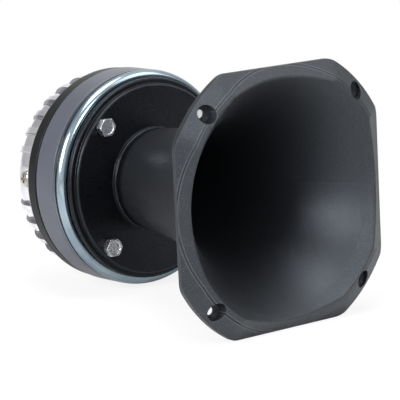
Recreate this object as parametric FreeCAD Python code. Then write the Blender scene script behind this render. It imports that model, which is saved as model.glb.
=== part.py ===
import FreeCAD, Part
import math
import os

# Compression driver on a bolt-on aluminium horn with a square mouth flange. Millimetres.
# The origin is on the horn's axis in the seat plane of the mouth flange, the face that
# meets a baffle. The mouth opens towards -Y, the driver is at +Y, and +Z is up.

V = FreeCAD.Vector
AXIS = V(0, 1, 0)

# Horn: inner flare and wall
throat_radius = 25.4
mouth_radius = 72.0
mouth_rise = 9.8            # mouth rim ahead of the seat plane
horn_depth = 119.2          # seat plane to the face that meets the driver
horn_wall = 5.2
flare_points = 9

# Horn: square mouth flange
flange_margin = 3.0         # flange sides outside the mouth rim
flange_corner_margin = 13.0
flange_edge = 2.3           # edge thickness along the sides
flange_corner_edge = 3.4    # edge thickness in the corners
flange_joint_round = 12.0
side_slope = 30.5           # degrees, the four side facets
corner_crease_width = 3.7   # band round the rim in the corners, before the flange's slope
corner_crease_drop = 1.3
crease_groove_width = 0.6
crease_groove_depth = 0.35
lip_round = 1.0             # rounded rim between the flare and the front
neck_fillet = 4.0

# Horn: holes of the mouth flange, which this margin puts on a 110 mm square
mouth_hole_margin = 5.782   # hole centres outside the mouth rim
mouth_hole_radius = 2.4
counterbore_radius = 5.25
counterbore_floor = 2.0     # material left under the counterbore
counterbore_steps = 2       # steps down from the floor to the hole
counterbore_step_width = 1.0
counterbore_step_depth = 0.6

# Horn bolts: M6 hexagon head on the standard 4 inch circle
bolt_circle = 101.6
bolt_count = 4
first_bolt = 45.0           # degrees
bolt_radius = 3.0
bolt_hole_clearance = 0.3
thread_clearance = 0.05
bolt_across_flats = 10.0
bolt_head_height = 4.0
bolt_bevel_radius = 5.15    # flat left on the head's top inside the bevel
bolt_bevel_angle = 30.0     # degrees
bolt_dish_radius = 3.9
bolt_dish_depth = 0.5
bolt_reach = 5.6            # thread length in the pole plate
drill_spare = 0.6
washer_radius = 4.9
washer_thickness = 0.8
washer_hole_clearance = 0.2

# Horn: driver flange
disc_margin = 6.5           # raised disc outside the bolt circle
raised_disc_height = 5.8    # raised disc's face ahead of the driver seat
disc_edge_round = 1.6
driver_flange_step = 3.1    # flange outside the raised disc
driver_flange_edge = 3.0
flange_edge_round = 1.2
boss_wall = 6.0
boss_height = 2.0
boss_edge_round = 0.6

# Front gasket between horn and driver
front_gasket_thickness = 0.8
front_gasket_inset = 4.4
front_gasket_bore_clearance = 2.1

# Motor: pole plate, magnet and top plate
motor_margin = 7.7          # front plate and magnet outside the rear cover's skirt
pole_plate_thickness = 7.3
pole_plate_round = 4.2
rim_groove_width = 1.1      # turned groove behind the front plate's rounded edge
rim_groove_depth = 0.55
pole_radius = 37.2
pole_neck_cut = 4.2
pole_tip_height = 10.0
bore_taper = 3.4            # bore narrower at the plug than at the horn
magnet_thickness = 17.3
magnet_chamfer = 0.6
magnet_clearance = 6.6      # magnet's bore outside the gap's wall
top_plate_inset = 0.7
top_plate_thickness = 10.5
top_plate_neck_width = 1.2  # turned step where the plate meets the magnet
top_plate_neck_depth = 1.6
top_plate_front_chamfer = 0.9
top_plate_rear_round = 2.2
air_gap = 2.2

# Phase plug in the pole's rear recess
plug_wall = 3.7             # pole left round the plug
plug_seat_depth = 9.0
plug_fit = 0.1
plug_channels = 2
plug_channel_width = 1.6
plug_spokes = 4
plug_spoke_width = 2.4
chamber_gap = 0.8

# Diaphragm, moving assembly
dome_height = 10.0
dome_thickness = 0.4
former_clearance = 0.55     # between the pole and the former
former_thickness = 0.3
coil_thickness = 0.5
coil_height = 6.0
rim_above_top_plate = 2.4
surround_thickness = 0.3
surround_span = 6.35
surround_roll = 1.3         # radius of the half roll
surround_clamp_width = 2.8

# Diaphragm rings behind the top plate
ring_width = 10.0
clamp_ring_thickness = 8.6
ring_screw_count = 4
first_ring_screw = 45.0     # degrees
ring_screw_radius = 1.75
ring_screw_head_radius = 3.0
ring_screw_head_height = 3.0
ring_screw_reach = 6.0
ring_screw_socket = 2.5

# Locating dowels of the diaphragm rings
dowel_radius = 1.5
dowel_count = 2
first_dowel = 22.5          # degrees
dowel_reach = 4.0

# Rear cover with radial cooling fins
cover_rim_inset = 2.0
cover_rim_thickness = 1.8
cover_fit = 0.3
cover_skirt_wall = 2.6
cover_back = 3.0
cover_depth = 21.0          # top plate's rear face to the back of the cover
cover_shoulder_round = 6.0
fin_positions = 32
fins_left_out = 2           # at each of the cover screws
fin_inset = 0.7             # fin tips inside the rim
fin_depth = 26.0            # top plate's rear face to the back of the fins
fin_corner_radius = 19.0
fin_thickness = 3.4
fin_back_drop = 2.0         # how far a fin's back falls towards the hub
hub_radius = 23.0
fin_root = 3.0              # fin's end inside the hub

# Radial cover screws: M5 pan head
cover_screw_count = 4
first_cover_screw = 3.5     # degrees
cover_screw_radius = 2.5
cover_screw_head_radius = 4.85
cover_screw_head_height = 3.6
cover_screw_head_round = 2.5
cover_screw_proud = 0.2     # head's top outside the fin tips
cover_screw_reach = 7.0
cover_screw_offset = 6.8    # screw axis behind the top plate's rear face
cover_pad_radius = 6.4
cover_hole_clearance = 0.3
recess_length = 5.2
recess_width = 1.1
recess_depth = 1.6

# Damping pad in the rear cover
pad_radius = 34.0
pad_inner = 14.0
pad_thickness = 3.0

# Terminals on the cover's hub
terminal_board_length = 30.0
terminal_board_width = 15.0
terminal_board_thickness = 2.0
terminal_spacing = 16.0
tab_width = 6.3
tab_thickness = 0.8
tab_length = 9.0
tab_hole_radius = 0.8
tab_hole_inset = 2.7        # hole's centre from the blade's end
rivet_radius = 1.6
rivet_fit = 0.05
rivet_head_radius = 2.2
rivet_head_height = 0.8
bush_wall = 1.0
bush_fit = 0.1

# Inner leads, from the rivets to the contact lugs and on to the voice coil
lead_radius = 0.7
lead_bend = 3.0
lead_gap = 0.4              # between the run and the pad
lug_length = 7.0
lug_width = 5.0
lug_thickness = 0.6
lead_out_width = 3.0
lead_out_thickness = 0.25
lead_out_rise = 2.6         # height of the strip over the surround's roll

# Cutters run this far past the face where they start, and edges this close count as one place
spare = 1.0
near = 0.05

# Radii that follow from the sizes above
flange_half = mouth_radius + flange_margin
flange_corner_radius = mouth_radius + flange_corner_margin
corner_crease_radius = mouth_radius + corner_crease_width
mouth_hole_offset = (mouth_radius + mouth_hole_margin) / math.sqrt(2)
raised_disc_radius = bolt_circle / 2 + disc_margin
driver_flange_radius = raised_disc_radius + driver_flange_step
boss_radius = throat_radius + boss_wall
gap_radius = pole_radius + air_gap
pole_neck_radius = pole_radius - pole_neck_cut
plug_seat_radius = pole_radius - plug_wall
bore_entry_radius = throat_radius - bore_taper
magnet_inner = gap_radius + magnet_clearance
former_radius = pole_radius + former_clearance
coil_inner = former_radius + former_thickness
ring_inner = coil_inner + surround_span
ring_outer = ring_inner + ring_width
ring_screw_circle = ring_inner + ring_outer
surround_middle = (coil_inner + ring_inner) / 2
skirt_outer = ring_outer + cover_fit + cover_skirt_wall
motor_radius = skirt_outer + motor_margin
top_plate_radius = motor_radius - top_plate_inset
cover_rim_radius = top_plate_radius - cover_rim_inset
fin_outer_radius = cover_rim_radius - fin_inset
fin_inner_radius = hub_radius - fin_root
cover_screw_seat = fin_outer_radius + cover_screw_proud - cover_screw_head_height

# Places along the axis that follow from the sizes above
rim_y = -mouth_rise
driver_seat_y = horn_depth
disc_face_y = driver_seat_y - raised_disc_height
pole_plate_y = driver_seat_y + front_gasket_thickness
magnet_y = pole_plate_y + pole_plate_thickness
top_plate_y = magnet_y + magnet_thickness
rear_face_y = top_plate_y + top_plate_thickness
dome_rim_y = rear_face_y + rim_above_top_plate
coil_y = top_plate_y + (top_plate_thickness - coil_height) / 2
clamp_y = dome_rim_y + surround_thickness
lug_y = clamp_y + clamp_ring_thickness
screw_y = rear_face_y + cover_screw_offset
hub_y = rear_face_y + cover_depth
board_y = rear_face_y + fin_depth
bolt_seat_y = disc_face_y - washer_thickness


def revolve(wire):
    """Solid of revolution about the axis from a closed profile."""
    return Part.Face(wire).revolve(V(0, 0, 0), AXIS, 360)


def run(points):
    """Straight edges through points, each a radius and a place along the axis."""
    corners = [V(r, y, 0) for r, y in points]
    return [Part.makeLine(a, b) for a, b in zip(corners, corners[1:])]


def polygon(points):
    """Closed profile through such points."""
    return Part.Wire(run(points + points[:1]))


def ring(outer, inner, start, length):
    return rod(outer, start, length).cut(rod(inner, start, length))


def rod(radius, start, length):
    return Part.makeCylinder(radius, length, V(0, start, 0), AXIS)


def spin(shape, degrees):
    turned = shape.copy()
    turned.rotate(V(0, 0, 0), AXIS, degrees)
    return turned


def spread(shape, count, first=0.0):
    """Copies of a shape, evenly spaced round the axis."""
    return [spin(shape, first + 360.0 * i / count) for i in range(count)]


def circle_edges(shape, radius, place):
    """Round edges about the axis with a given radius at a given place."""
    found = []
    for edge in shape.Edges:
        curve = edge.Curve
        if isinstance(curve, Part.Circle) and abs(curve.Radius - radius) < near:
            centre = curve.Center
            if abs(centre.y - place) < near and math.hypot(centre.x, centre.z) < near:
                found.append(edge)
    return found


def flare_radius(place):
    """Inner radius of the horn, which opens as a hyperbolic cosine."""
    rate = (horn_depth + mouth_rise) / math.acosh(mouth_radius / throat_radius)
    return throat_radius * math.cosh((driver_seat_y - place) / rate)


def flare_edge(start, end, wall):
    """Smooth edge along the flare, a wall outside it, from one place to another."""
    step = (end - start) / (flare_points - 1)
    places = [start + step * i for i in range(flare_points)]
    curve = Part.BSplineCurve()
    curve.interpolate([V(flare_radius(y) + wall, y, 0) for y in places])
    return curve.toShape()


def corner_front():
    """Front of the flange's corners from the edge to the rim, with a fine groove at the crease."""
    crease_y = rim_y + corner_crease_drop
    half = crease_groove_width / 2
    slope = (-flange_corner_edge - crease_y) / (flange_corner_radius - corner_crease_radius)
    band_slope = corner_crease_drop / corner_crease_width
    return [
        (flange_corner_radius, 0.0),
        (flange_corner_radius, -flange_corner_edge),
        (corner_crease_radius + half, crease_y + half * slope),
        (corner_crease_radius, crease_y + crease_groove_depth),
        (corner_crease_radius - half, crease_y - half * band_slope),
        (mouth_radius, rim_y),
    ]


def horn_turned():
    """The horn as a turned body: flare, neck, boss, driver flange and round mouth flange."""
    boss_y = disc_face_y - boss_height
    step_y = driver_seat_y - driver_flange_edge
    corner = [
        (throat_radius, driver_seat_y),
        (driver_flange_radius, driver_seat_y),
        (driver_flange_radius, step_y),
        (raised_disc_radius, step_y),
        (raised_disc_radius, disc_face_y),
        (boss_radius, disc_face_y),
        (boss_radius, boss_y),
        (flare_radius(boss_y) + horn_wall, boss_y),
    ]
    edges = run(corner)
    edges.append(flare_edge(boss_y, 0.0, horn_wall))
    flange_back = [(flare_radius(0.0) + horn_wall, 0.0)]
    edges += run(flange_back + corner_front())
    edges.append(flare_edge(rim_y, driver_seat_y, 0.0))
    body = revolve(Part.Wire(edges))
    body = body.makeFillet(disc_edge_round, circle_edges(body, raised_disc_radius, disc_face_y))
    body = body.makeFillet(flange_edge_round, circle_edges(body, driver_flange_radius, step_y))
    body = body.makeFillet(boss_edge_round, circle_edges(body, boss_radius, boss_y))
    return body.makeFillet(neck_fillet, circle_edges(body, flare_radius(0.0) + horn_wall, 0.0))


def square_outline():
    """Prism of the mouth flange's outline: a square whose corners follow a circle."""
    side = 2 * flange_half
    depth = mouth_rise + horn_depth
    square = Part.makeBox(side, depth, side, V(-flange_half, rim_y, -flange_half))
    round_corners = rod(flange_corner_radius, rim_y, depth)
    outline = square.common(round_corners)
    upright = []
    for edge in outline.Edges:
        ends = [v.Point for v in edge.Vertexes]
        if len(ends) == 2 and abs(ends[0].y - ends[1].y) > depth / 2:
            upright.append(edge)
    return outline.makeFillet(flange_joint_round, upright)


def side_facet():
    """Wedge that slopes one side of the flange's front back towards its edge."""
    slope = math.tan(math.radians(side_slope))
    inner = flange_half - (mouth_rise - flange_edge) / slope
    outer = flange_half + spare
    wedge = Part.Face(polygon([(inner, rim_y), (outer, rim_y), (outer, slope * spare - flange_edge)]))
    wedge.translate(V(0, 0, -flange_half))
    return wedge.extrude(V(0, 0, 2 * flange_half))


def mouth_hole():
    """Through hole of the mouth flange with its stepped counterbore, on the first diagonal."""
    cutter = rod(mouth_hole_radius, rim_y, mouth_rise)
    for i in range(counterbore_steps + 1):
        depth = -counterbore_floor + i * counterbore_step_depth - rim_y
        cutter = cutter.fuse(rod(counterbore_radius - i * counterbore_step_width, rim_y, depth))
    cutter.translate(V(mouth_hole_offset, 0, mouth_hole_offset))
    return cutter


def on_circle(shape, diameter, count, first):
    """Copies on a circle about the axis, from a shape modelled on the axis."""
    moved = shape.copy()
    moved.translate(V(diameter / 2, 0, 0))
    return spread(moved, count, first)


def at_bolts(shape):
    return on_circle(shape, bolt_circle, bolt_count, first_bolt)


def rim_edges(body):
    """Edges of the mouth rim, where the front faces meet the flare."""
    found = []
    for edge in body.Edges:
        points = edge.discretize(5)
        on_flare = all(abs(math.hypot(p.x, p.z) - flare_radius(p.y)) < near for p in points)
        if on_flare and all(p.y < -flange_edge for p in points):
            found.append(edge)
    return found


def horn():
    body = horn_turned().common(square_outline())
    body = body.cut(spread(side_facet(), 4))
    body = body.makeFillet(lip_round, rim_edges(body))
    body = body.cut(spread(mouth_hole(), 4))
    return body.cut(at_bolts(rod(bolt_radius + bolt_hole_clearance, disc_face_y, raised_disc_height)))


def hexagon(across_flats, start, length):
    corner = across_flats / math.sqrt(3)
    corners = [spin(Part.Vertex(corner, start, 0), 60 * i).Point for i in range(7)]
    return Part.Face(Part.makePolygon(corners)).extrude(V(0, length, 0))


def horn_bolts():
    """Hexagon head bolts with a stamped dish in the head, all turned the same way."""
    top_y = bolt_seat_y - bolt_head_height
    head = hexagon(bolt_across_flats, top_y, bolt_head_height)
    wide = bolt_bevel_radius + bolt_head_height / math.tan(math.radians(bolt_bevel_angle))
    bevel = Part.makeCone(bolt_bevel_radius, wide, bolt_head_height, V(0, top_y, 0), AXIS)
    head = head.common(bevel).cut(rod(bolt_dish_radius, top_y, bolt_dish_depth))
    end_y = pole_plate_y + bolt_reach
    bolt = head.fuse(rod(bolt_radius, bolt_seat_y, end_y - bolt_seat_y))
    bolts = []
    for place in spread(Part.Vertex(bolt_circle / 2, 0, 0), bolt_count, first_bolt):
        moved = bolt.copy()
        moved.translate(place.Point)
        bolts.append(moved)
    return Part.makeCompound(bolts)


def horn_washers():
    washer = ring(washer_radius, bolt_radius + washer_hole_clearance, bolt_seat_y, washer_thickness)
    return Part.makeCompound(at_bolts(washer))


def front_gasket():
    outer = driver_flange_radius - front_gasket_inset
    inner = throat_radius + front_gasket_bore_clearance
    body = ring(outer, inner, driver_seat_y, front_gasket_thickness)
    holes = at_bolts(rod(bolt_radius + bolt_hole_clearance, driver_seat_y, front_gasket_thickness))
    return body.cut(holes)


def pole_plate():
    """Front plate and pole in one piece, bored for the throat and recessed for the plug."""
    tip_start = rear_face_y - pole_tip_height
    plug_y = rear_face_y - plug_seat_depth
    profile = [
        (throat_radius, pole_plate_y),
        (motor_radius, pole_plate_y),
        (motor_radius, magnet_y),
        (pole_neck_radius, magnet_y),
        (pole_neck_radius, tip_start - pole_neck_cut),
        (pole_radius, tip_start),
        (pole_radius, rear_face_y),
        (plug_seat_radius, rear_face_y),
        (plug_seat_radius, plug_y),
        (bore_entry_radius, plug_y),
    ]
    body = revolve(polygon(profile))
    body = body.makeFillet(pole_plate_round, circle_edges(body, motor_radius, pole_plate_y))
    groove_y = pole_plate_y + pole_plate_round
    body = body.cut(ring(motor_radius + spare, motor_radius - rim_groove_depth, groove_y, rim_groove_width))
    threads = at_bolts(rod(bolt_radius + thread_clearance, pole_plate_y, bolt_reach + drill_spare))
    return body.cut(threads)


def magnet():
    body = ring(motor_radius, magnet_inner, magnet_y, magnet_thickness)
    edges = circle_edges(body, motor_radius, magnet_y) + circle_edges(body, motor_radius, top_plate_y)
    return body.makeChamfer(magnet_chamfer, edges)


def at_ring_screws(shape):
    return on_circle(shape, ring_screw_circle, ring_screw_count, first_ring_screw)


def at_dowels(shape):
    return on_circle(shape, ring_screw_circle, dowel_count, first_dowel)


def top_plate():
    """Rear plate, with a turned step against the magnet and threads for the diaphragm rings."""
    neck_end = top_plate_y + top_plate_neck_width
    body = ring(top_plate_radius, gap_radius, neck_end, rear_face_y - neck_end)
    body = body.makeChamfer(top_plate_front_chamfer, circle_edges(body, top_plate_radius, neck_end))
    body = body.makeFillet(top_plate_rear_round, circle_edges(body, top_plate_radius, rear_face_y))
    neck = ring(top_plate_radius - top_plate_neck_depth, gap_radius, top_plate_y, top_plate_neck_width)
    body = body.fuse(neck).removeSplitter()
    depth = ring_screw_reach + drill_spare
    threads = at_ring_screws(rod(ring_screw_radius + thread_clearance, rear_face_y - depth, depth))
    pins = at_dowels(rod(dowel_radius + thread_clearance, rear_face_y - dowel_reach, dowel_reach))
    return body.cut(threads + pins)


def ball(offset):
    """Ball on which the dome's outer face lies, offset inwards."""
    radius = (former_radius ** 2 + dome_height ** 2) / (2 * dome_height)
    centre = V(0, dome_rim_y + dome_height - radius, 0)
    return Part.makeSphere(radius - offset, centre, AXIS, -90, 90, 360)


def dome():
    blank = rod(former_radius, dome_rim_y, dome_height + spare)
    return blank.common(ball(0.0)).cut(ball(dome_thickness))


def phase_plug():
    """Plug with ring channels that lead from the domed face to the throat bore."""
    seat_y = rear_face_y - plug_seat_depth
    radius = plug_seat_radius - plug_fit
    height = plug_seat_depth + dome_height + rim_above_top_plate
    blank = rod(radius, seat_y, height).common(ball(dome_thickness + chamber_gap))
    pitch = radius / (plug_channels + 0.5)
    for i in range(plug_channels):
        face_radius = pitch * (i + 0.75)
        exit_radius = bore_entry_radius * (i + 0.75) / plug_channels
        channel = [
            (exit_radius - plug_channel_width, seat_y),
            (exit_radius + plug_channel_width, seat_y),
            (face_radius + plug_channel_width / 2, seat_y + height),
            (face_radius - plug_channel_width / 2, seat_y + height),
        ]
        cutter = revolve(polygon(channel))
        for j in range(plug_spokes):
            spoke = Part.makeBox(radius, height, plug_spoke_width, V(0, seat_y, -plug_spoke_width / 2))
            cutter = cutter.cut(spin(spoke, 360.0 * j / plug_spokes))
        blank = blank.cut(cutter)
    return blank


def voice_coil_former():
    return ring(coil_inner, former_radius, coil_y, dome_rim_y - coil_y)


def voice_coil():
    return ring(coil_inner + coil_thickness, coil_inner, coil_y, coil_height)


def spacer_ring():
    body = ring(ring_outer, ring_inner, rear_face_y, rim_above_top_plate)
    holes = at_ring_screws(rod(ring_screw_radius + thread_clearance, rear_face_y, rim_above_top_plate))
    pins = at_dowels(rod(dowel_radius + thread_clearance, rear_face_y, rim_above_top_plate))
    return body.cut(holes + pins)


def surround():
    """Thin ring with a half roll, clamped at its outside and glued to the former's end."""
    outer = surround_roll + surround_thickness / 2
    inner = surround_roll - surround_thickness / 2
    centre = V(0, dome_rim_y, 0)
    tube = Part.makeTorus(surround_middle, outer, centre, AXIS)
    tube = tube.cut(Part.makeTorus(surround_middle, inner, centre, AXIS))
    roll = tube.common(ring(ring_inner, former_radius, dome_rim_y, outer + spare))
    flat = ring(ring_inner + surround_clamp_width, former_radius, dome_rim_y, surround_thickness)
    flat = flat.cut(ring(surround_middle + inner, surround_middle - inner, dome_rim_y, surround_thickness))
    return flat.fuse(roll).removeSplitter()


def clamp_ring():
    body = ring(ring_outer, ring_inner, clamp_y, clamp_ring_thickness)
    body = body.cut(at_ring_screws(rod(ring_screw_radius + thread_clearance, clamp_y, clamp_ring_thickness)))
    body = body.cut(at_dowels(rod(dowel_radius + thread_clearance, clamp_y, clamp_ring_thickness)))
    return body.cut(radial_threads())


def ring_screws():
    """Socket cap screws that hold the diaphragm rings to the top plate."""
    shank = rod(ring_screw_radius, rear_face_y - ring_screw_reach, lug_y - rear_face_y + ring_screw_reach)
    head = rod(ring_screw_head_radius, lug_y, ring_screw_head_height)
    socket = hexagon(ring_screw_socket, lug_y + ring_screw_head_height / 2, ring_screw_head_height)
    return Part.makeCompound(at_ring_screws(shank.fuse(head).cut(socket)))


def dowels():
    length = dowel_reach + rim_above_top_plate + surround_thickness + clamp_ring_thickness / 2
    return Part.makeCompound(at_dowels(rod(dowel_radius, rear_face_y - dowel_reach, length)))


def radial_rod(radius, start, end):
    """Rod across the axis between two distances from it, at the cover screws' place."""
    return Part.makeCylinder(radius, end - start, V(start, screw_y, 0), V(1, 0, 0))


def at_cover_screws(shape):
    return spread(shape, cover_screw_count, first_cover_screw)


def radial_threads():
    start = ring_outer - cover_screw_reach - drill_spare
    thread = radial_rod(cover_screw_radius + thread_clearance, start, ring_outer + spare)
    return at_cover_screws(thread)


def fin():
    """One radial fin with a rounded outer corner."""
    back_y = rear_face_y + fin_depth
    base_y = rear_face_y + cover_rim_thickness / 2
    r = fin_corner_radius
    centre_x = fin_outer_radius - r
    centre_y = back_y - r
    mid = V(centre_x + r * math.cos(math.pi / 4), centre_y + r * math.sin(math.pi / 4), 0)
    edges = [
        Part.makeLine(V(fin_inner_radius, base_y, 0), V(fin_outer_radius, base_y, 0)),
        Part.makeLine(V(fin_outer_radius, base_y, 0), V(fin_outer_radius, centre_y, 0)),
        Part.Arc(V(fin_outer_radius, centre_y, 0), mid, V(centre_x, back_y, 0)).toShape(),
        Part.makeLine(V(centre_x, back_y, 0), V(fin_inner_radius, back_y - fin_back_drop, 0)),
        Part.makeLine(V(fin_inner_radius, back_y - fin_back_drop, 0), V(fin_inner_radius, base_y, 0)),
    ]
    plate = Part.Face(Part.Wire(edges)).extrude(V(0, 0, fin_thickness))
    plate.translate(V(0, 0, -fin_thickness / 2))
    return plate


def fin_angles():
    """Fin places from a cover screw, with some left out beside each screw."""
    per_screw = fin_positions // cover_screw_count
    pitch = 360.0 / fin_positions
    angles = []
    for screw in range(cover_screw_count):
        for i in range(per_screw - fins_left_out):
            place = pitch * (i + (fins_left_out + 1) / 2.0)
            angles.append(first_cover_screw + 360.0 / cover_screw_count * screw + place)
    return angles


def cover_cavity():
    """Room inside the cover for the rings, the screw heads and the dome."""
    depth = cover_depth - cover_back
    rings = rod(ring_outer + cover_fit, rear_face_y, depth)
    edges = circle_edges(rings, ring_outer + cover_fit, rear_face_y + depth)
    return rings.makeChamfer(cover_shoulder_round / 2, edges)


def rear_cover():
    shell = rod(skirt_outer, rear_face_y, cover_depth)
    shell = shell.makeFillet(cover_shoulder_round, circle_edges(shell, skirt_outer, hub_y))
    rim = rod(cover_rim_radius, rear_face_y, cover_rim_thickness)
    hub = rod(hub_radius, hub_y - cover_back, fin_depth - cover_depth + cover_back)
    pads = at_cover_screws(radial_rod(cover_pad_radius, ring_outer, cover_screw_seat))
    fins = [spin(fin(), angle) for angle in fin_angles()]
    body = shell.fuse([rim, hub] + pads + fins)
    body = body.cut(cover_cavity())
    hole = radial_rod(cover_screw_radius + cover_hole_clearance, ring_outer - spare, cover_screw_seat + spare)
    return body.cut(at_cover_screws(hole) + terminal_slots())


def cross_recess(top_x):
    """Cross recess in a head whose top is at a given distance from the axis."""
    corner = V(top_x - recess_depth, screw_y - recess_length / 2, -recess_width / 2)
    arm = Part.makeBox(recess_depth, recess_length, recess_width, corner)
    other = arm.copy()
    other.rotate(V(0, screw_y, 0), V(1, 0, 0), 90)
    return arm.fuse(other)


def cover_screws():
    """Pan head screws with a cross recess, through the skirt into the clamp ring."""
    top_x = cover_screw_seat + cover_screw_head_height
    head = radial_rod(cover_screw_head_radius, cover_screw_seat, top_x)
    rims = [edge for edge in head.Edges if isinstance(edge.Curve, Part.Circle)]
    outer_rim = [edge for edge in rims if abs(edge.Curve.Center.x - top_x) < near]
    head = head.makeFillet(cover_screw_head_round, outer_rim)
    shank = radial_rod(cover_screw_radius, ring_outer - cover_screw_reach, cover_screw_seat)
    screw = head.fuse(shank).cut(cross_recess(top_x))
    return Part.makeCompound(at_cover_screws(screw))


def damping_pad():
    return ring(pad_radius, pad_inner, hub_y - cover_back - pad_thickness, pad_thickness)


def at_terminals(shape):
    out = []
    for side in (-1, 1):
        moved = shape.copy()
        moved.translate(V(side * terminal_spacing / 2, 0, 0))
        out.append(moved)
    return out


def terminal_slots():
    """Holes through the hub for the insulating bushes of the two terminals."""
    start = hub_y - cover_back
    return at_terminals(rod(rivet_radius + bush_wall + bush_fit, start, board_y - start))


def terminal_board():
    """Oval insulating board on the hub, with a bush round each rivet."""
    end_radius = terminal_board_width / 2
    half = terminal_board_length / 2 - end_radius
    corner = V(-half, board_y, -end_radius)
    bar = Part.makeBox(2 * half, terminal_board_thickness, terminal_board_width, corner)
    ends = []
    for x in (-half, half):
        ends.append(Part.makeCylinder(end_radius, terminal_board_thickness, V(x, board_y, 0), AXIS))
    start = hub_y - cover_back
    bushes = at_terminals(rod(rivet_radius + bush_wall, start, board_y - start))
    body = bar.fuse(ends + bushes)
    holes = at_terminals(rod(rivet_radius + rivet_fit, start, board_y + terminal_board_thickness - start))
    return body.cut(holes).removeSplitter()


def terminals():
    """Blade terminals, each bent up from a foot on the board."""
    half = tab_width / 2
    foot_y = board_y + terminal_board_thickness
    foot = Part.makeBox(tab_width, tab_thickness, tab_width, V(-half, foot_y, -half))
    blade = Part.makeBox(tab_width, tab_length, tab_thickness, V(-half, foot_y, half - tab_thickness))
    eye_place = V(0, foot_y + tab_length - tab_hole_inset, half - tab_thickness)
    eye = Part.makeCylinder(tab_hole_radius, tab_thickness, eye_place, V(0, 0, 1))
    tab = foot.fuse(blade).cut(eye).cut(rod(rivet_radius + rivet_fit, foot_y, tab_thickness))
    return Part.makeCompound(at_terminals(tab.removeSplitter()))


def terminal_rivets():
    top = board_y + terminal_board_thickness + tab_thickness
    start = hub_y - cover_back
    shank = rod(rivet_radius, start, top - start)
    head = rod(rivet_head_radius, top, rivet_head_height)
    return Part.makeCompound(at_terminals(shank.fuse(head)))


def lead_path():
    """Wire from a rivet's inner end, out under the pad and down to a lug."""
    start = hub_y - cover_back
    run_y = start - pad_thickness - lead_gap - lead_radius
    x0 = terminal_spacing / 2
    x1 = ring_screw_circle / 2 - lug_length / 4
    end_y = lug_y + lug_thickness
    bend = min(lead_bend, start - run_y)
    drop = run_y - end_y
    inset = 1 - math.sqrt(0.5)
    first_mid = V(x0 + bend * inset, run_y + bend * inset, 0)
    last_mid = V(x1 - drop * inset, run_y - drop * inset, 0)
    edges = [
        Part.makeLine(V(x0, start, 0), V(x0, run_y + bend, 0)),
        Part.Arc(V(x0, run_y + bend, 0), first_mid, V(x0 + bend, run_y, 0)).toShape(),
        Part.makeLine(V(x0 + bend, run_y, 0), V(x1 - drop, run_y, 0)),
        Part.Arc(V(x1 - drop, run_y, 0), last_mid, V(x1, end_y, 0)).toShape(),
    ]
    return Part.Wire(edges)


def inner_leads():
    path = lead_path()
    section = Part.Wire(Part.makeCircle(lead_radius, V(terminal_spacing / 2, hub_y - cover_back, 0), AXIS))
    wire = path.makePipe(Part.Face(section))
    return Part.makeCompound([wire, spin(wire, 180)])


def contact_lugs():
    """Flat lugs on the clamp ring that join the inner leads to the coil's strips."""
    start = ring_inner + lead_out_width / 2
    lug = Part.makeBox(lug_length, lug_thickness, lug_width, V(start, lug_y, -lug_width / 2))
    return Part.makeCompound([lug, spin(lug, 180)])


def lead_outs():
    """Thin strips from the lugs over the surround to the coil's former."""
    t = lead_out_thickness
    foot_y = dome_rim_y + surround_thickness
    over_y = foot_y + surround_roll + lead_out_rise
    outer = ring_inner + lead_out_width / 2
    profile = [
        (outer, lug_y),
        (ring_inner - t, lug_y),
        (surround_middle, over_y),
        (former_radius + t, foot_y),
        (former_radius, foot_y),
        (former_radius, foot_y + t),
        (surround_middle - t, over_y + t),
        (ring_inner - 2 * t, lug_y + t),
        (outer, lug_y + t),
    ]
    strip = Part.Face(polygon(profile)).extrude(V(0, 0, lead_out_width))
    strip.translate(V(0, 0, -lead_out_width / 2))
    return Part.makeCompound([strip, spin(strip, 180)])


NODES = {
    "horn": horn,
    "horn_bolts": horn_bolts,
    "horn_washers": horn_washers,
    "front_gasket": front_gasket,
    "pole_plate": pole_plate,
    "magnet": magnet,
    "top_plate": top_plate,
    "phase_plug": phase_plug,
    "diaphragm_dome": dome,
    "voice_coil_former": voice_coil_former,
    "voice_coil": voice_coil,
    "surround": surround,
    "spacer_ring": spacer_ring,
    "clamp_ring": clamp_ring,
    "clamp_ring_screws": ring_screws,
    "locating_dowels": dowels,
    "rear_cover": rear_cover,
    "cover_screws": cover_screws,
    "damping_pad": damping_pad,
    "terminal_board": terminal_board,
    "terminal_tabs": terminals,
    "terminal_rivets": terminal_rivets,
    "inner_leads": inner_leads,
    "contact_lugs": contact_lugs,
    "lead_outs": lead_outs,
}

os.makedirs("parts", exist_ok=True)
for node, make in NODES.items():
    shape = make()
    shape.exportStep("parts/" + node + ".step")
    print(node, "valid" if shape.isValid() else "INVALID", len(shape.Solids), round(shape.Volume, 1))
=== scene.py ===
import bpy
import math
from mathutils import Matrix, Vector


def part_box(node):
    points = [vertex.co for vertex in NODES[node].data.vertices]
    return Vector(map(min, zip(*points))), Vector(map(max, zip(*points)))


# Compression driver on a bolt-on horn, dressed for the library. Metres, in the CAD frame.

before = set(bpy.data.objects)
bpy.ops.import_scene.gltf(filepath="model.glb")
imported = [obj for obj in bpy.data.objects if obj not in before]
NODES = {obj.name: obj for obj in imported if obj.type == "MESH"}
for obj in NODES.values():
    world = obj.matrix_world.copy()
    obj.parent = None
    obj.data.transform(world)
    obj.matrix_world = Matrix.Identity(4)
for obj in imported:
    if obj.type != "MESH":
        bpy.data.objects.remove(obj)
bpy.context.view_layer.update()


# Camera, solved from the photograph with the CAD sizes held

CAMERA_AZIMUTH = -38.815
CAMERA_ELEVATION = 9.998
CAMERA_ROLL = -2.856
CAMERA_DISTANCE = 1.38487
CAMERA_TARGET = Vector((-0.016835, 0.0502, -0.003885))
CAMERA_LENS = 216.71


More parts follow.
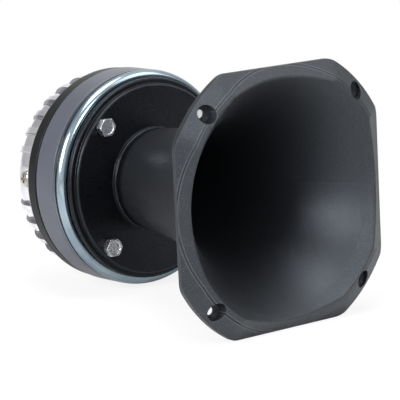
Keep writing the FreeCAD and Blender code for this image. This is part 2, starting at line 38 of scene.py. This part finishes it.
def make_camera():
    az, el, roll = (math.radians(v) for v in (CAMERA_AZIMUTH, CAMERA_ELEVATION, CAMERA_ROLL))
    back = Vector((math.sin(az) * math.cos(el), -math.cos(az) * math.cos(el), math.sin(el)))
    right = Vector((math.cos(az), math.sin(az), 0.0))
    up = back.cross(right)
    rolled_right = right * math.cos(roll) + up * math.sin(roll)
    rolled_up = up * math.cos(roll) - right * math.sin(roll)
    data = bpy.data.cameras.new("camera")
    data.lens = CAMERA_LENS
    data.sensor_width = 36.0
    data.clip_start = 0.05
    data.clip_end = 50.0
    camera = bpy.data.objects.new("camera", data)
    turn = Matrix((rolled_right, rolled_up, back)).transposed().to_4x4()
    camera.matrix_world = Matrix.Translation(CAMERA_TARGET + back * CAMERA_DISTANCE) @ turn
    bpy.context.scene.collection.objects.link(camera)
    bpy.context.scene.camera = camera


# Node trees

BEVEL_SAMPLES = 6


class Tree:
    """Short calls for building a material's nodes."""

    def __init__(self, name):
        self.material = bpy.data.materials.new(name)
        self.material.use_nodes = True
        self.nodes = self.material.node_tree.nodes
        self.links = self.material.node_tree.links
        self.nodes.clear()
        self.output = self.nodes.new("ShaderNodeOutputMaterial")

    def add(self, kind, inputs=None, **settings):
        node = self.nodes.new("ShaderNode" + kind)
        for key, value in settings.items():
            setattr(node, key, value)
        for key, value in (inputs or {}).items():
            self.put(value, node.inputs[key])
        return node

    def put(self, value, socket):
        if isinstance(value, bpy.types.NodeSocket):
            self.links.new(value, socket)
        elif isinstance(value, (tuple, list)) and len(value) == 3 and socket.type == "RGBA":
            socket.default_value = (*value, 1.0)
        else:
            socket.default_value = value

    def math(self, operation, *values):
        node = self.nodes.new("ShaderNodeMath")
        node.operation = operation
        for i, value in enumerate(values):
            self.put(value, node.inputs[i])
        return node.outputs[0]

    def plus(self, a, b):
        return self.math("ADD", a, b)

    def minus(self, a, b):
        return self.math("SUBTRACT", a, b)

    def times(self, a, b):
        return self.math("MULTIPLY", a, b)

    def apart(self, a, b):
        return self.math("ABSOLUTE", self.minus(a, b))

    def mix(self, factor, a, b):
        node = self.nodes.new("ShaderNodeMix")
        node.data_type = "RGBA"
        self.put(factor, node.inputs[0])
        self.put(a, node.inputs[6])
        self.put(b, node.inputs[7])
        return node.outputs[2]

    def blend(self, factor, a, b):
        """Mix of two vectors."""
        node = self.nodes.new("ShaderNodeMix")
        node.data_type = "VECTOR"
        self.put(factor, node.inputs[0])
        self.put(a, node.inputs[4])
        self.put(b, node.inputs[5])
        return node.outputs[1]

    def ramp(self, value, low, high):
        """0 below low, 1 above high."""
        node = self.nodes.new("ShaderNodeMapRange")
        node.interpolation_type = "SMOOTHSTEP"
        self.put(value, node.inputs["Value"])
        node.inputs["From Min"].default_value = low
        node.inputs["From Max"].default_value = high
        return node.outputs[0]

    def span(self, value, low, high):
        """A 0 to 1 value stretched between two numbers."""
        node = self.nodes.new("ShaderNodeMapRange")
        self.put(value, node.inputs["Value"])
        node.inputs["To Min"].default_value = low
        node.inputs["To Max"].default_value = high
        return node.outputs[0]

    def fade(self, value, low, high):
        """1 below low, 0 above high."""
        return self.minus(1.0, self.ramp(value, low, high))

    def place(self):
        return self.add("TexCoord").outputs["Object"]

    def split(self, vector):
        return self.add("SeparateXYZ", {"Vector": vector}).outputs

    def true_normal(self):
        return self.add("NewGeometry").outputs["True Normal"]

    def noise(self, scale, detail=3.0, roughness=0.55, vector=None):
        node = self.add("TexNoise", {"Scale": scale, "Detail": detail, "Roughness": roughness})
        self.links.new(vector or self.place(), node.inputs["Vector"])
        return node.outputs["Fac"]

    def radius(self, x, z):
        return self.math("SQRT", self.plus(self.times(x, x), self.times(z, z)))

    def axial(self):
        """Radius, place along the axis and angle about it, of the point."""
        x, y, z = self.split(self.place())
        return self.radius(x, z), y, self.math("ARCTAN2", z, x)

    def turned(self, scale, length=0.6):
        """Fine circular tool marks round the axis."""
        radius, y, angle = self.axial()
        vector = self.add("CombineXYZ", {
            "X": self.times(radius, scale),
            "Y": self.times(y, scale),
            "Z": self.times(angle, length),
        }).outputs[0]
        return self.noise(1.0, 4.0, 0.6, vector)

    def edges(self, radius):
        """Rounded normal, and how near a point is to an outer or inner edge."""
        bevel = self.add("Bevel", {"Radius": radius}, samples=BEVEL_SAMPLES).outputs[0]
        normal = self.add("NewGeometry").outputs["Normal"]
        same = self.add("VectorMath", {0: bevel, 1: normal}, operation="DOT_PRODUCT").outputs["Value"]
        return bevel, self.ramp(self.minus(1.0, same), 0.0, 0.25)

    def bump(self, height, distance, strength=1.0, normal=None):
        node = self.add("Bump", {"Height": height, "Distance": distance, "Strength": strength})
        if normal is not None:
            self.links.new(normal, node.inputs["Normal"])
        return node.outputs[0]

    def surface(self, **inputs):
        shader = self.add("BsdfPrincipled")
        for key, value in inputs.items():
            self.put(value, shader.inputs[key.replace("_", " ")])
        self.links.new(shader.outputs[0], self.output.inputs["Surface"])
        return self.material

    def metal(self, colour, rough, normal):
        return self.surface(Base_Color=colour, Metallic=1.0, Roughness=rough, Normal=normal)


# The mouth flange's front, from the CAD sizes: the four side facets run into the corner cones

FLANGE_HALF = 0.075
FLANGE_EDGE_Y = -0.0023
SIDE_ANGLE = math.radians(30.5)
CORNER_RADIUS = 0.085
CORNER_EDGE_Y = -0.0034
CREASE_RADIUS = 0.0757
CREASE_Y = -0.0085
MERGE = 0.0016

# Shares of the flange's shading: where it starts at the crease, and what leaves it out
CREASE_START = (CREASE_RADIUS - 0.0010, CREASE_RADIUS + 0.0004)
FRONT_FACING = -0.8
NEAR_EDGE = (0.25, 0.6)

# Widths in metres of the crease's rounding, its painted shadow line and the painted highlight beside it, and
# the raised disc's start
CREASE_ROUND = (0.0010, 0.0014)
CREASE_SHADOW_LINE = (0.0002, 0.0004)
CREASE_HIGHLIGHT_OFFSET = 0.0007
CREASE_HIGHLIGHT_WIDTH = (0.0001, 0.0004)
HORN_BEVEL = (0.0006, 0.0001)
DISC_START = (0.1045, 0.1085)


def flange_normal(t, place, normal, edge):
    """Normal of the flange's front with the joints between facets and cones blended, and where it holds."""
    x, y, z = t.split(place)
    radius = t.radius(x, z)
    wide, high = t.math("ABSOLUTE", x), t.math("ABSOLUTE", z)
    reach = t.math("MAXIMUM", wide, high)
    slope = (CORNER_EDGE_Y - CREASE_Y) / (CORNER_RADIUS - CREASE_RADIUS)
    facet_rise = t.times(t.minus(reach, FLANGE_HALF), math.tan(SIDE_ANGLE))
    cone_rise = t.times(t.minus(radius, CORNER_RADIUS), slope)
    step = t.minus(t.plus(facet_rise, FLANGE_EDGE_Y), t.plus(cone_rise, CORNER_EDGE_Y))
    share = t.ramp(step, -MERGE, MERGE)
    sideways = t.math("GREATER_THAN", wide, high)
    upright = t.minus(1.0, sideways)
    facet = t.add("CombineXYZ", {
        "X": t.times(t.times(t.math("SIGN", x), sideways), math.sin(SIDE_ANGLE)),
        "Y": -math.cos(SIDE_ANGLE),
        "Z": t.times(t.times(t.math("SIGN", z), upright), math.sin(SIDE_ANGLE)),
    }).outputs[0]
    tilt = math.atan(slope)
    cone = t.add("CombineXYZ", {
        "X": t.times(t.math("DIVIDE", x, radius), math.sin(tilt)),
        "Y": -math.cos(tilt),
        "Z": t.times(t.math("DIVIDE", z, radius), math.sin(tilt)),
    }).outputs[0]
    blended = t.blend(share, cone, facet)
    facing = t.math("LESS_THAN", t.split(t.true_normal())[1], FRONT_FACING)
    inside = t.times(facing, t.math("LESS_THAN", y, FLANGE_EDGE_Y))
    inside = t.times(inside, t.ramp(radius, *CREASE_START))
    inside = t.times(inside, t.fade(edge, *NEAR_EDGE))
    return t.add("VectorMath", {0: t.blend(inside, normal, blended)}, operation="NORMALIZE").outputs[0]


def powder_coat(name, dark, light, grain, depth):
    """Fine sandy black powder coat, smoother on its edges, and lighter there as a painted highlight."""
    t = Tree(name)
    place = t.place()
    fine = t.noise(grain, 2.0, 0.5)
    coarse = t.noise(grain * 0.35, 2.0, 0.5)
    cloud = t.noise(18.0, 3.0)
    flecks = t.ramp(t.noise(grain * 0.7, 1.0, 0.5), 0.56, 0.74)
    x, y, z = t.split(place)
    off_crease = t.apart(t.radius(x, z), CREASE_RADIUS)
    on_front = t.math("LESS_THAN", y, FLANGE_EDGE_Y)
    by_crease = t.times(on_front, t.fade(off_crease, *CREASE_ROUND))
    line = t.times(on_front, t.fade(off_crease, *CREASE_SHADOW_LINE))
    crease_highlight = t.times(on_front, t.fade(t.apart(off_crease, CREASE_HIGHLIGHT_OFFSET), *CREASE_HIGHLIGHT_WIDTH))
    disc = t.ramp(y, *DISC_START)
    normal, edge = t.edges(t.span(by_crease, *HORN_BEVEL))
    normal = flange_normal(t, place, normal, edge)
    colour = t.mix(t.ramp(fine, 0.35, 0.7), dark, light)
    colour = t.mix(t.times(flecks, t.span(on_front, 0.3, 0.8)), colour, (0.045, 0.047, 0.054))
    colour = t.mix(t.times(t.ramp(cloud, 0.4, 0.75), 0.25), colour, dark)
    # painted highlight: the edges are lightened in colour
    colour = t.mix(t.times(edge, 0.4), colour, (0.09, 0.094, 0.105))
    # painted shadow: the crease line is painted near black
    colour = t.mix(line, colour, (0.001, 0.001, 0.001))
    # painted highlight: a lighter ring each side of the crease line
    colour = t.mix(t.times(crease_highlight, 0.35), colour, (0.10, 0.104, 0.115))
    rough = t.minus(t.span(coarse, 0.34, 0.50), t.times(edge, 0.1))
    rough = t.minus(rough, t.times(disc, 0.12))
    # painted shade: metallic on the near black paint mutes the gloss of the crease line and the raised disc,
    # so they render darker
    dull = t.math("MAXIMUM", t.times(line, 0.3), t.times(disc, 0.6))
    sand = t.times(t.plus(fine, coarse), t.span(on_front, 0.5, 1.0))
    return t.surface(
        Base_Color=colour, Metallic=dull, Roughness=rough, Specular_IOR_Level=0.62,
        Specular_Tint=(0.80, 0.89, 1.0), Normal=t.bump(sand, depth, 1.0, normal))


ZINC_GROOVE = (0.0007, 0.0011)
ZINC_DARK_REFLECTION = (-0.0009, -0.0002)


def zinc_plate(name, groove_place):
    """Blue zinc plated turned steel, darker and browner in its groove, partly as painted shadow, and with a
    painted dark reflection beside the magnet.
    """
    t = Tree(name)
    marks = t.turned(9000.0)
    cloud = t.noise(26.0, 3.0)
    y = t.axial()[1]
    normal, edge = t.edges(0.0004)
    colour = t.mix(t.ramp(cloud, 0.3, 0.7), (0.15, 0.21, 0.27), (0.30, 0.38, 0.43))
    colour = t.mix(t.times(t.ramp(marks, 0.45, 0.7), 0.4), colour, (0.55, 0.58, 0.60))
    # partly painted shadow: the groove line is darkened and browned
    line = t.fade(t.apart(y, groove_place), *ZINC_GROOVE)
    colour = t.mix(t.times(line, 0.92), colour, (0.02, 0.01, 0.009))
    # painted reflection: the cylindrical part from the groove back to the magnet is darkened as if
    # reflecting dark surroundings
    dark_reflection = t.ramp(y, *(groove_place + offset for offset in ZINC_DARK_REFLECTION))
    colour = t.mix(t.times(dark_reflection, 0.7), colour, (0.06, 0.07, 0.09))
    rough = t.span(marks, 0.10, 0.24)
    return t.metal(colour, rough, t.bump(marks, 0.00001, 0.5, normal))


SEAM_SHADE = (0.0015, 0.0019)


def tinted(colour, factor):
    return tuple(min(1.0, c * factor) for c in colour)


def satin_paint(name, dark, light, roughness, speckle, level, seam=None):
    """Sprayed satin paint with a faint orange peel, lighter edges as a painted highlight, and painted black
    shade in the gap behind a seam.
    """
    t = Tree(name)
    peel = t.noise(420.0, 2.0)
    fine = t.noise(2400.0, 2.0)
    cloud = t.noise(22.0, 3.0)
    normal, edge = t.edges(0.0005)
    colour = t.mix(t.ramp(cloud, 0.3, 0.7), dark, light)
    colour = t.mix(t.times(t.ramp(fine, 0.5, 0.7), speckle), colour, tinted(light, 1.9))
    # painted highlight: the edges are lightened in colour
    colour = t.mix(t.times(edge, 0.35), colour, tinted(light, 1.6))
    rough = t.span(fine, roughness - 0.05, roughness + 0.07)
    height = t.plus(peel, t.times(fine, 0.4))
    gap_shade = 0.0
    if seam is not None:
        # painted shade: the gap behind the seam is painted black and made metallic to lose its gloss
        gap_shade = t.fade(t.axial()[1], *(seam + width for width in SEAM_SHADE))
        colour = t.mix(gap_shade, colour, (0.001, 0.001, 0.001))
    return t.surface(
        Base_Color=colour, Metallic=gap_shade, Roughness=rough, Specular_IOR_Level=level,
        Specular_Tint=(0.88, 0.93, 1.0), Normal=t.bump(height, 0.00003, 0.5, normal))


def metal(name, dark, light, rough_low, rough_high, scale=900.0, depth=0.00002, turned=False):
    """Bare or plated metal with uneven sheen, and edges brightened as a painted highlight."""
    t = Tree(name)
    fine = t.turned(scale * 6) if turned else t.noise(scale, 4.0, 0.6)
    cloud = t.noise(60.0, 3.0)
    normal, edge = t.edges(0.0003)
    colour = t.mix(t.ramp(cloud, 0.3, 0.7), dark, light)
    # painted highlight: the edges are brightened in colour
    colour = t.mix(t.times(edge, 0.3), colour, tinted(light, 1.15))
    rough = t.span(t.ramp(fine, 0.3, 0.7), rough_low, rough_high)
    return t.metal(colour, rough, t.bump(fine, depth, 0.5, normal))


FIN_SIDE_SHADE = (0.7, 0.95)


def cast_cover(name):
    """Polished outside, with painted shade darkening the sides of the fins, which are also rougher, and a
    painted highlight on the edges.
    """
    t = Tree(name)
    fine = t.noise(600.0, 4.0, 0.6)
    cloud = t.noise(60.0, 3.0)
    normal, edge = t.edges(0.0004)
    x, y, z = t.split(t.place())
    nx, ny, nz = t.split(t.true_normal())
    radius = t.radius(x, z)
    across = t.minus(t.times(x, nz), t.times(z, nx))
    side = t.ramp(t.math("DIVIDE", t.math("ABSOLUTE", across), radius), *FIN_SIDE_SHADE)
    colour = t.mix(t.ramp(cloud, 0.3, 0.7), (0.60, 0.60, 0.64), (0.82, 0.82, 0.86))
    # painted shade: the sides of the fins are darkened in colour
    colour = t.mix(t.times(side, 0.9), colour, (0.20, 0.20, 0.22))
    # painted highlight: the edges are brightened in colour
    colour = t.mix(t.times(edge, 0.7), colour, (0.95, 0.95, 0.96))
    rough = t.plus(t.span(fine, 0.06, 0.18), t.times(side, 0.2))
    return t.metal(colour, rough, t.bump(fine, 0.00003, 0.5, normal))


def plastic(name, dark, light, roughness, scale=500.0, depth=0.00003):
    """Moulded plastic or coated fibre with a fine grain."""
    t = Tree(name)
    fine = t.noise(scale, 3.0)
    cloud = t.noise(40.0, 2.0)
    normal, edge = t.edges(0.0003)
    colour = t.mix(t.ramp(cloud, 0.3, 0.7), dark, light)
    # painted highlight: the edges are lightened in colour
    colour = t.mix(t.times(edge, 0.3), colour, tinted(light, 1.5))
    rough = t.span(fine, roughness - 0.06, roughness + 0.08)
    return t.surface(Base_Color=colour, Roughness=rough, Normal=t.bump(fine, depth, 0.5, normal))


def felt(name, dark, light):
    """Pressed fibres in small clumps."""
    t = Tree(name)
    fibre = t.noise(2600.0, 5.0, 0.7)
    clump = t.noise(380.0, 3.0)
    colour = t.mix(t.ramp(fibre, 0.35, 0.65), dark, light)
    height = t.plus(fibre, clump)
    return t.surface(Base_Color=colour, Roughness=0.95, Sheen_Weight=0.4, Normal=t.bump(height, 0.0003, 0.8))


def phenolic(name):
    """Brown laminated board with a faint weave."""
    t = Tree(name)
    weave = t.add("TexWave", {"Vector": t.place(), "Scale": 900.0, "Distortion": 1.5}).outputs["Fac"]
    cloud = t.noise(220.0, 3.0)
    normal, edge = t.edges(0.0003)
    colour = t.mix(t.ramp(cloud, 0.3, 0.7), (0.16, 0.07, 0.03), (0.26, 0.13, 0.06))
    colour = t.mix(t.times(weave, 0.15), colour, (0.36, 0.2, 0.1))
    # painted highlight: the edges are lightened in colour
    colour = t.mix(t.times(edge, 0.4), colour, (0.42, 0.26, 0.14))
    normal = t.bump(weave, 0.00002, 0.4, normal)
    return t.surface(Base_Color=colour, Roughness=t.span(cloud, 0.36, 0.5), Normal=normal)


WIRE_PITCH = 0.00025


def winding(name):
    """Edge-wound wire: fine rings along the coil."""
    t = Tree(name)
    turns = t.math("SINE", t.times(t.axial()[1], 2 * math.pi / WIRE_PITCH))
    colour = t.mix(t.ramp(turns, -1.0, 1.0), (0.45, 0.38, 0.30), (0.80, 0.74, 0.66))
    return t.metal(colour, 0.3, t.bump(turns, 0.00003, 0.8))


def film(name, colour_a, colour_b, roughness, weight):
    """Formed film with a clear gloss."""
    t = Tree(name)
    cloud = t.noise(90.0, 3.0)
    colour = t.mix(cloud, colour_a, colour_b)
    return t.surface(
        Base_Color=colour, Roughness=roughness, Coat_Weight=weight, Normal=t.bump(cloud, 0.00002, 0.4))


def dress(node, material):
    """Gives a CAD node its material."""
    slots = NODES[node].data.materials
    slots.clear()
    slots.append(material)


ZINC_GROOVE_AHEAD = 0.0027


def dress_all():
    magnet_front, magnet_back = (corner.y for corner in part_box("magnet"))
    zinc_screw = metal("bright_zinc", (0.55, 0.57, 0.60), (0.82, 0.83, 0.84), 0.16, 0.34, 1600.0, 0.00003)
    dress("horn", powder_coat(
        "horn_powder_coat", (0.002, 0.0022, 0.003), (0.006, 0.0065, 0.008), 2200.0, 0.00016))
    dress("horn_bolts", zinc_screw)
    dress("horn_washers", zinc_screw)
    dress("front_gasket", plastic(
        "gasket_fibre", (0.02, 0.02, 0.02), (0.05, 0.05, 0.05), 0.85, 1800.0, 0.0001))
    dress("pole_plate", zinc_plate("blue_zinc", magnet_front - ZINC_GROOVE_AHEAD))
    dress("magnet", satin_paint(
        "magnet_grey", (0.043, 0.047, 0.062), (0.062, 0.067, 0.088), 0.34, 0.0, 0.6))
    dress("top_plate", satin_paint(
        "plate_black", (0.002, 0.002, 0.0022), (0.005, 0.005, 0.0055), 0.36, 0.2, 0.22, magnet_back))
    dress("phase_plug", plastic("plug_black", (0.02, 0.02, 0.022), (0.04, 0.04, 0.042), 0.45))
    titanium = metal("titanium_foil", (0.40, 0.38, 0.37), (0.62, 0.60, 0.58), 0.3, 0.45, 260.0, 0.00003)
    dress("diaphragm_dome", titanium)
    dress("voice_coil_former", film("amber_film", (0.55, 0.28, 0.06), (0.70, 0.40, 0.12), 0.25, 0.4))
    dress("voice_coil", winding("coil_wire"))
    dress("surround", film("surround_film", (0.62, 0.55, 0.40), (0.76, 0.70, 0.56), 0.35, 0.2))
    turned = metal(
        "turned_aluminium", (0.55, 0.55, 0.57), (0.78, 0.78, 0.80), 0.22, 0.4, depth=0.00001, turned=True)
    dress("spacer_ring", turned)
    dress("clamp_ring", turned)
    dress("clamp_ring_screws", metal("black_oxide", (0.03, 0.03, 0.035), (0.09, 0.09, 0.10), 0.35, 0.5))
    dress("locating_dowels", metal("ground_steel", (0.5, 0.5, 0.5), (0.7, 0.7, 0.7), 0.2, 0.3))
    dress("rear_cover", cast_cover("cast_aluminium"))
    dress("cover_screws", metal("nickel", (0.36, 0.34, 0.30), (0.58, 0.56, 0.52), 0.08, 0.2, 700.0, 0.00001))
    dress("damping_pad", felt("grey_felt", (0.10, 0.10, 0.10), (0.24, 0.23, 0.22)))
    dress("terminal_board", phenolic("phenolic_board"))
    tin = metal("tinned_brass", (0.55, 0.53, 0.46), (0.80, 0.78, 0.70), 0.2, 0.36, 1200.0, 0.00002)
    dress("terminal_tabs", tin)
    dress("terminal_rivets", tin)
    dress("inner_leads", plastic("lead_insulation", (0.02, 0.02, 0.02), (0.05, 0.05, 0.05), 0.5))
    copper = metal("copper_lug", (0.60, 0.36, 0.20), (0.80, 0.52, 0.30), 0.22, 0.4)
    dress("contact_lugs", copper)
    dress("lead_outs", copper)


# Floor, light and background

FLOOR_POINT = Vector((0.0, 0.0, -0.0751))
FLOOR_SLOPE = math.atan(10.0 / 144.0)
FLOOR_HALF = 6.0
FLOOR_COLOUR = (0.90, 0.90, 0.90)
UNDER_OBJECT = (0.0, 0.09, 0.0)
SHADOW_SHARE = 0.15
SHADOW_REACH = (0.2, 0.45)
DARK_FLOOR = 0.12
DARK_FLOOR_FRONT = (-0.35, -0.05)
DARK_FLOOR_REACH = (0.15, 0.5)


def backdrop_material():
    """White to the camera and in reflections, with the object's shadow, and plain matt white to light.

    Reflections see it darker under the object and low in front of it.
    """
    t = Tree("floor_white")
    path = t.add("LightPath").outputs
    place = t.place()
    seen = t.math("MAXIMUM", path["Is Camera Ray"], path["Is Glossy Ray"])
    seen = t.math("MAXIMUM", seen, path["Is Transmission Ray"])
    matt = t.add("BsdfDiffuse", {"Color": FLOOR_COLOUR}).outputs[0]
    glow = t.add("Emission", {"Color": (1.0, 1.0, 1.0), "Strength": 1.0}).outputs[0]
    away = t.add("VectorMath", {0: place}, operation="LENGTH").outputs["Value"]
    clear = t.plus(t.times(t.ramp(away, *SHADOW_REACH), SHADOW_SHARE), 1.0 - SHADOW_SHARE)
    below = t.add("VectorMath", {0: place, 1: UNDER_OBJECT}, operation="DISTANCE").outputs["Value"]
    behind = t.ramp(t.split(place)[1], *DARK_FLOOR_FRONT)
    open_floor = t.times(behind, t.ramp(below, *DARK_FLOOR_REACH))
    mirrored = t.math("MAXIMUM", t.span(open_floor, DARK_FLOOR, 1.0), path["Is Camera Ray"])
    share = t.times(t.times(seen, clear), mirrored)
    mixed = t.add("MixShader", {0: share, 1: matt, 2: glow}).outputs[0]
    t.links.new(mixed, t.output.inputs["Surface"])
    return t.material


def make_floor():
    mesh = bpy.data.meshes.new("floor")
    corners = [(x * FLOOR_HALF, y * FLOOR_HALF, 0) for x, y in ((-1, -1), (1, -1), (1, 1), (-1, 1))]
    mesh.from_pydata(corners, [], [(0, 1, 2, 3)])
    floor = bpy.data.objects.new("floor", mesh)
    floor.location = FLOOR_POINT
    floor.rotation_euler = (FLOOR_SLOPE, 0, 0)
    mesh.materials.append(backdrop_material())
    bpy.context.scene.collection.objects.link(floor)


# World: strength for matt light, and what reflections see on three sides of the studio

WORLD_LIGHT = 0.15
DARK_SIDE = (0.55, -0.755, -0.36)
FRONT = (0.3, 0.65, 1.0, 0.75)
DARK = (0.62, 0.95, 1.0, 0.05)
REAR = (-0.95, -0.6, 0.55, 1.0)


def make_world():
    """White all round, with a dark side of the studio at the front right and a grey one at the back left."""
    world = bpy.data.worlds.new("studio")
    world.use_nodes = True
    bpy.context.scene.world = world
    nodes, links = world.node_tree.nodes, world.node_tree.links
    nodes.clear()

    def maths(operation, a, b):
        node = nodes.new("ShaderNodeMath")
        node.operation = operation
        for socket, value in zip(node.inputs, (a, b)):
            if isinstance(value, float):
                socket.default_value = value
            else:
                links.new(value, socket)
        return node.outputs[0]

    def between(value, low, high, low_out, high_out):
        node = nodes.new("ShaderNodeMapRange")
        node.interpolation_type = "SMOOTHSTEP"
        links.new(value, node.inputs["Value"])
        ends = {"From Min": low, "From Max": high, "To Min": low_out, "To Max": high_out}
        for key, number in ends.items():
            node.inputs[key].default_value = number
        return node.outputs[0]

    aim = nodes.new("ShaderNodeVectorMath")
    aim.operation = "DOT_PRODUCT"
    aim.inputs[1].default_value = DARK_SIDE
    links.new(nodes.new("ShaderNodeTexCoord").outputs["Generated"], aim.inputs[0])
    front = between(aim.outputs["Value"], *FRONT)
    dark = between(aim.outputs["Value"], *DARK)
    rear = between(aim.outputs["Value"], *REAR)
    studio = maths("MULTIPLY", maths("MULTIPLY", front, dark), rear)
    path = nodes.new("ShaderNodeLightPath").outputs
    mirrored = maths("MAXIMUM", path["Is Glossy Ray"], path["Is Transmission Ray"])
    extra = maths("MULTIPLY", mirrored, maths("SUBTRACT", studio, WORLD_LIGHT))
    strength = maths("ADD", WORLD_LIGHT, extra)
    strength = maths("MAXIMUM", strength, path["Is Camera Ray"])
    back = nodes.new("ShaderNodeBackground")
    back.inputs["Color"].default_value = (1.0, 1.0, 1.0, 1.0)
    links.new(strength, back.inputs["Strength"])
    out = nodes.new("ShaderNodeOutputWorld")
    links.new(back.outputs[0], out.inputs["Surface"])


# Lamps: name, place, side of the square and power

LAMP_AIM = Vector((0.0, 0.06, 0.0))
LAMPS = (
    ("key", (-1.5, -0.2, 0.72), 0.8, 33.0),
    ("top", (-0.1, -0.18, 1.7), 1.1, 24.0),
    ("front", (-0.05, -1.5, 0.8), 0.5, 11.0),
    ("panel", (1.0, -0.85, 1.1), 1.0, 7.0),
)


def make_lights():
    for name, place, side, power in LAMPS:
        data = bpy.data.lights.new(name, "AREA")
        data.shape = "SQUARE"
        data.size = side
        data.energy = power
        lamp = bpy.data.objects.new(name, data)
        lamp.location = place
        lamp.rotation_euler = (LAMP_AIM - Vector(place)).to_track_quat("-Z", "Y").to_euler()
        bpy.context.scene.collection.objects.link(lamp)


def set_view():
    bpy.context.scene.view_settings.view_transform = "Standard"


make_camera()
dress_all()
make_floor()
make_world()
make_lights()
set_view()
